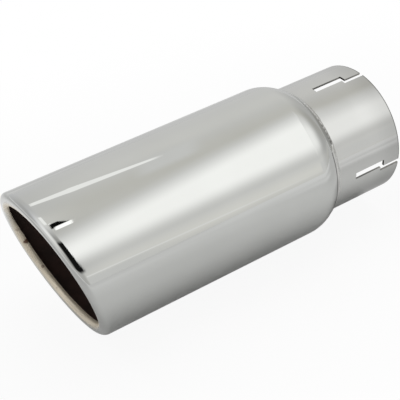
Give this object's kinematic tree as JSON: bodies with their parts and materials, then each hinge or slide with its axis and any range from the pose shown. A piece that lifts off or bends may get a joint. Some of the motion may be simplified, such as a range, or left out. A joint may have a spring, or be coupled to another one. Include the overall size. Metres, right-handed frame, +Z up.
{
  "type": "exhaust tip",
  "caption": "Clamp-on tailpipe trim: a tube with a slanted, rolled-in mouth and a spun shoulder, welded to a slotted inlet sleeve.",
  "frame": {"origin": "centre of the inlet sleeve's open end, on the tube's axis", "axes": "+X along the tube from the inlet end to the mouth, +Z up as fitted to a car, with the mouth's longer side on top, +Y completes the right-handed frame"},
  "size_m": [0.224, 0.089, 0.089],
  "materials": {
    "polished_body": "mirror polished stainless steel",
    "polished_sleeve": "polished stainless steel tube",
    "weld_metal": "polished-over weld"
  },
  "bodies": {
    "root": {"outer_shell": "polished_body", "inlet_sleeve": "polished_sleeve", "weld_bead": "weld_metal"}
  },
  "joints": []
}
